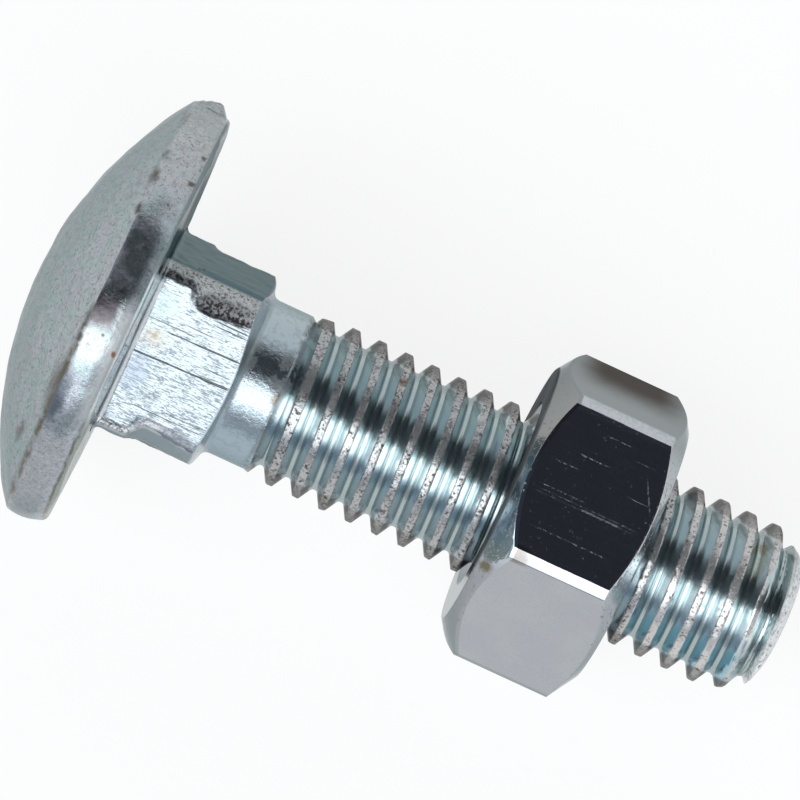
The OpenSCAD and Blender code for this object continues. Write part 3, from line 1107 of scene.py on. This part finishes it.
def nut_zinc():
    """Bright zinc on the nut: cleaner than the bolt's, with fine scratches and painted brown shade."""
    zinc = Finish("bright zinc on the nut")
    for layer in (
            plate_nut, brown_upper_flat, wear_nut_corners, colour_chamfers, scratch_front_flat,
            darken_near_face):
        layer(zinc)
    roughness = mix((0.08,), (zinc.grain, 0.05), (zinc.worn, 0.3), (zinc.near_face, 0.35))
    height = mix((zinc.grain, 0.5), (zinc.worn, 1.5), (zinc.dots, -1.5))
    # Edge tints that go with the painted shade on the upper flat and on the near face
    edge = blend(zinc.browned, EDGE_TINT, (0.42, 0.41, 0.4))
    edge = blend(times(zinc.near_face, 0.8), edge, (0.05, 0.05, 0.05))
    return zinc.complete(roughness, height, 0.004, 1.0, edge)


# ---- Studio ----

def white_paper():
    """Matt white, and nearly pure white where the camera or a mirror looks at it."""
    paper = bpy.data.materials.new("white paper")
    paper.use_nodes = True
    tree = paper.node_tree
    sheet = tree.nodes["Principled BSDF"]
    feed(tree, (0.95, 0.95, 0.95, 1), sheet.inputs["Base Color"])
    feed(tree, 0.9, sheet.inputs["Roughness"])
    rays = add_node(tree, "ShaderNodeLightPath").outputs
    seen = rays["Is Camera Ray"]
    for other in ("Is Glossy Ray", "Is Transmission Ray"):
        seen = add_node(tree, "ShaderNodeMath", seen, rays[other], operation="MAXIMUM").outputs[0]
    share = add_node(tree, "ShaderNodeMath", seen, 0.85, operation="MULTIPLY")
    white = add_node(tree, "ShaderNodeEmission")
    mix = add_node(tree, "ShaderNodeMixShader", share.outputs[0], sheet.outputs[0], white.outputs[0])
    feed(tree, mix.outputs[0], tree.nodes["Material Output"].inputs["Surface"])
    return paper


def lay_floor(height):
    """A round sheet of white paper under the part."""
    bpy.ops.mesh.primitive_circle_add(vertices=64, radius=3.0, fill_type="NGON", location=(0, 0, height))
    floor = bpy.context.object
    floor.name = "floor"
    floor.data.materials.append(white_paper())
    floor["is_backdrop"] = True


def bands(tree, turn, stops):
    """Colours round the row's X axis, each stop given by its turn in degrees."""
    ramp = add_node(tree, "ShaderNodeValToRGB", turn)
    points = ramp.color_ramp.elements
    while len(points) < len(stops):
        points.new(0.5)
    for point, (degrees_round, colour) in zip(points, stops):
        point.position = (degrees_round + 180) / 360
        point.color = (*colour, 1)
    return ramp.outputs["Color"]


def room_bands(tree, turn):
    """A pale room with a dark strip above the bolt and a dim one beside its long light."""
    pale, dark, dim = (0.36, 0.375, 0.39), (0.016, 0.017, 0.022), (0.17, 0.185, 0.21)
    return bands(tree, turn, ((-180, pale), (-94, pale), (-84, dim), (-66, dim), (-58, pale), (-18, pale),
                              (-15, dark), (33, dark), (46, pale), (180, pale)))


def light_bands(tree, turn):
    """A long soft light along one side of the bolt."""
    none, half, full = (0, 0, 0), (0.3, 0.34, 0.4), (0.93, 0.98, 1.0)
    return bands(tree, turn, ((-180, none), (-64, none), (-56, half), (-45, full), (-18, full), (-15, none),
                              (180, none)))


def light_studio():
    """The room's bands, with the long light added except towards the tip's end of the room."""
    world = bpy.data.worlds.new("studio")
    bpy.context.scene.world = world
    world.use_nodes = True
    tree = world.node_tree
    toward = add_node(tree, "ShaderNodeTexCoord").outputs["Generated"]
    parts = add_node(tree, "ShaderNodeSeparateXYZ", toward).outputs
    angle = add_node(tree, "ShaderNodeMath", parts["Y"], parts["Z"], operation="ARCTAN2")
    turn = add_node(tree, "ShaderNodeMapRange", angle.outputs[0], -pi, pi).outputs[0]
    along = add_node(tree, "ShaderNodeVectorMath", toward, AXIS, operation="DOT_PRODUCT")
    reach = add_node(tree, "ShaderNodeMapRange", along.outputs["Value"], 0.3, 0.55, 1.0, 0.0,
                     interpolation_type="SMOOTHSTEP")
    lit = add_node(tree, "ShaderNodeMix", reach.outputs[0], data_type="RGBA", blend_type="ADD")
    feed(tree, room_bands(tree, turn), colour_socket(lit.inputs, "A"))
    feed(tree, light_bands(tree, turn), colour_socket(lit.inputs, "B"))
    back = tree.nodes["Background"]
    feed(tree, 2.4, back.inputs["Strength"])
    feed(tree, colour_socket(lit.outputs, "Result"), back.inputs["Color"])


def place_camera():
    """Looks down on the bolt, turned about its axis, with the head up and to the left."""
    view_turn, yaw, roll = radians(14.5), radians(2.328), radians(-24.882)
    aim_along, aim_up, distance = 12.29, 2.036, 200.0
    focal_length, sensor_width, nearest = 209.5, 36.0, 0.01
    across = SIDE * cos(view_turn) + LIFT * sin(view_turn)
    toward = LIFT * cos(view_turn) - SIDE * sin(view_turn)
    bolt_axes = Matrix((AXIS, across, toward)).transposed()
    turn = Matrix.Rotation(roll, 3, "Z") @ Matrix.Rotation(yaw, 3, "Y")
    axes = bolt_axes @ turn.transposed()
    camera = bpy.data.objects.new("camera", bpy.data.cameras.new("camera"))
    bpy.context.scene.collection.objects.link(camera)
    camera.data.lens = focal_length
    camera.data.sensor_width = sensor_width
    camera.data.clip_start = nearest
    place = (AXIS * aim_along + axes.col[1] * aim_up + axes.col[2] * distance) * MM
    camera.matrix_world = Matrix.LocRotScale(place, axes, None)
    bpy.context.scene.camera = camera


# ---- Assembly ----

def coat(piece, material):
    """Gives the piece one material all over."""
    piece.data.materials.clear()
    piece.data.materials.append(material)


bolt = model_bolt()
coat(bolt, bolt_zinc())
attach(bolt, "bolt")
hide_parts("carriage_bolt")

nut = model_nut()
coat(nut, nut_zinc())
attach(nut, "nut")
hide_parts("hex_nut")

lay_floor(min(cad_box[0].z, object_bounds()[0].z))
light_studio()
place_camera()
bpy.context.scene.view_settings.view_transform = "Standard"
